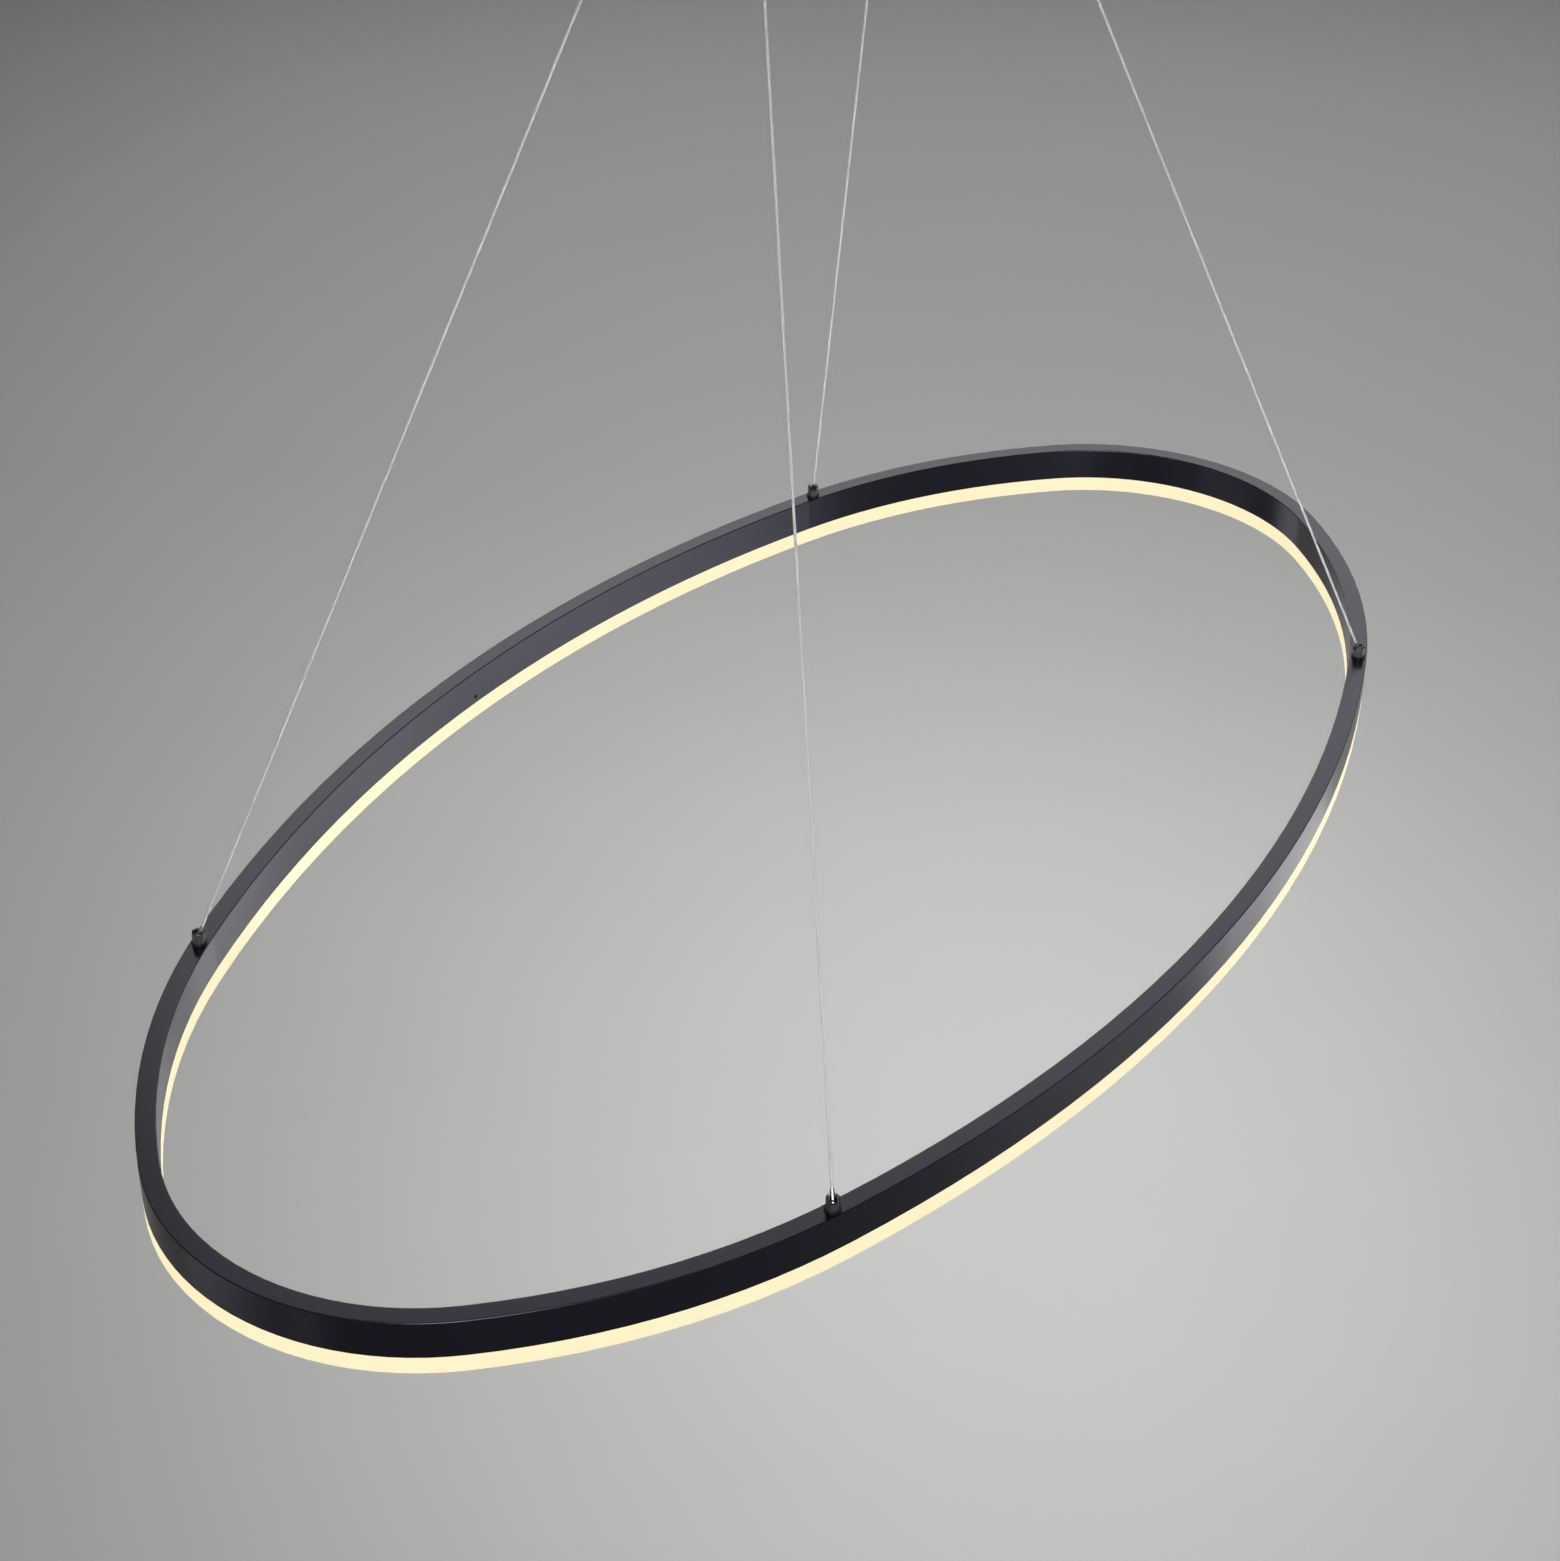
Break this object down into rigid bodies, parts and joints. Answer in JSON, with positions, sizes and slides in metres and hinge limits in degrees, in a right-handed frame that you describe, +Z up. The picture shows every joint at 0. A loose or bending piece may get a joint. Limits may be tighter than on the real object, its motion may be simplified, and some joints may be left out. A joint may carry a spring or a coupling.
{
  "type": "led pendant light",
  "caption": "Slim oval LED pendant light: black channel with a glowing opal underside, hung level on thin wires from an oblong ceiling canopy.",
  "frame": {"origin": "on the ceiling plane, at the middle of the canopy's ceiling plate", "axes": "+X along the oval's long axis, +Y to the rear long side, +Z up to the ceiling"},
  "size_m": [1, 0.516, 0.7296],
  "materials": {
    "black_aluminium": "satin black anodised",
    "opal_plastic": "opal, lit from inside",
    "tape_white": "white solder mask",
    "chip_phosphor": "yellow phosphor",
    "aluminium": "mill finish",
    "black_oxide_steel": "satin black",
    "zinc_steel": "zinc plated",
    "ball_steel": "bright",
    "black_nylon": "matt moulded",
    "tinned_copper": "tinned",
    "nickel": "satin nickel",
    "coated_wire": "stranded steel in a clear jacket",
    "black_steel": "matt black powder coat",
    "rubber": "matt",
    "driver_plastic": "fine moulded texture",
    "board_green": "solder mask",
    "terminal_plastic": "moulded",
    "lead_brown": "insulation",
    "lead_blue": "insulation",
    "lead_green": "insulation",
    "lead_red": "insulation",
    "lead_black": "insulation"
  },
  "bodies": {
    "canopy": {"cover_screws": "black_oxide_steel", "ceiling_plate": "zinc_steel", "driver_screws": "zinc_steel", "earth_screw": "zinc_steel", "terminal_screws": "zinc_steel", "gripper_nuts": "zinc_steel", "gripper_spring_left": "ball_steel", "gripper_spring_right": "ball_steel", "gripper_bushes": "black_nylon", "gripper_washers": "black_nylon", "gripper_lugs": "tinned_copper", "gripper_body_left": "nickel", "gripper_body_right": "nickel", "wire_tails": "coated_wire", "canopy_cover": "black_steel", "cable_grommet": "rubber", "driver_base": "driver_plastic", "driver_lid": "driver_plastic", "driver_board": "board_green", "terminal_block": "terminal_plastic", "live_lead": "lead_brown", "neutral_lead": "lead_blue", "earth_lead": "lead_green", "positive_lead": "lead_red", "negative_lead": "lead_black"},
    "suspension": {"wire_front_left": "coated_wire", "wire_front_right": "coated_wire", "wire_rear_right": "coated_wire", "wire_rear_left": "coated_wire"},
    "light_ring": {"profile_left": "black_aluminium", "profile_right": "black_aluminium", "diffuser_front": "opal_plastic", "diffuser_rear": "opal_plastic", "led_tape_left": "tape_white", "led_tape_right": "tape_white", "led_chips": "chip_phosphor", "splice_bars": "aluminium", "splice_plates": "aluminium", "splice_screws": "black_oxide_steel", "hanger_studs": "zinc_steel", "hanger_bushes": "black_nylon", "hanger_washers": "black_nylon", "hanger_lugs": "tinned_copper", "hanger_nuts": "zinc_steel", "feed_leads": "lead_red", "wire_holder_front_left": "black_oxide_steel", "wire_holder_front_right": "black_oxide_steel", "wire_holder_rear_right": "black_oxide_steel", "wire_holder_rear_left": "black_oxide_steel"},
    "wire_end_front_left": {"wire_end_front_left": "nickel"},
    "wire_end_front_right": {"wire_end_front_right": "nickel"},
    "wire_end_rear_right": {"wire_end_rear_right": "nickel"},
    "wire_end_rear_left": {"wire_end_rear_left": "nickel"},
    "plunger_left": {"plunger_left": "nickel", "clamp_balls_left": "ball_steel"},
    "plunger_right": {"plunger_right": "nickel", "clamp_balls_right": "ball_steel"}
  },
  "joints": [
    {"name": "ring_swing", "type": "hinge", "parent": "canopy", "child": "suspension", "pos_m": [0, 0, -0.0456], "axis": [1, 0, 0], "range_deg": [-10, 10]},
    {"name": "ring_height", "type": "slide", "parent": "suspension", "child": "light_ring", "axis": [0, 0, 1], "range_m": [0, 0.2], "deforming": ["wire_front_left", "wire_front_right", "wire_rear_right", "wire_rear_left"]},
    {"name": "wire_end_front_left_tilt", "type": "hinge", "parent": "light_ring", "child": "wire_end_front_left", "pos_m": [-0.3071, -0.19864, -0.6941], "axis": [-0.6509, 0.7591, 0], "range_deg": [0, 9.08]},
    {"name": "wire_end_front_right_tilt", "type": "hinge", "parent": "light_ring", "child": "wire_end_front_right", "pos_m": [0.3071, -0.19864, -0.6941], "axis": [-0.6509, -0.7591, 0], "range_deg": [0, 9.08]},
    {"name": "wire_end_rear_right_tilt", "type": "hinge", "parent": "light_ring", "child": "wire_end_rear_right", "pos_m": [0.3071, 0.19864, -0.6941], "axis": [0.6509, -0.7591, 0], "range_deg": [0, 9.08]},
    {"name": "wire_end_rear_left_tilt", "type": "hinge", "parent": "light_ring", "child": "wire_end_rear_left", "pos_m": [-0.3071, 0.19864, -0.6941], "axis": [0.6509, 0.7591, 0], "range_deg": [0, 9.08]},
    {"name": "release_left", "type": "slide", "parent": "canopy", "child": "plunger_left", "axis": [0, 0, 1], "range_m": [0, 0.0025], "stiffness_N_per_m": 600, "springref_m": -0.002, "deforming": ["gripper_spring_left"]},
    {"name": "release_right", "type": "slide", "parent": "canopy", "child": "plunger_right", "axis": [0, 0, 1], "range_m": [0, 0.0025], "stiffness_N_per_m": 600, "springref_m": -0.002, "deforming": ["gripper_spring_right"]}
  ],
  "couplings": [
    {"joint": "wire_end_front_left_tilt", "follows": "ring_height", "rad_per_m": 0.78369},
    {"joint": "wire_end_front_right_tilt", "follows": "ring_height", "rad_per_m": 0.78369},
    {"joint": "wire_end_rear_right_tilt", "follows": "ring_height", "rad_per_m": 0.78369},
    {"joint": "wire_end_rear_left_tilt", "follows": "ring_height", "rad_per_m": 0.78369}
  ]
}
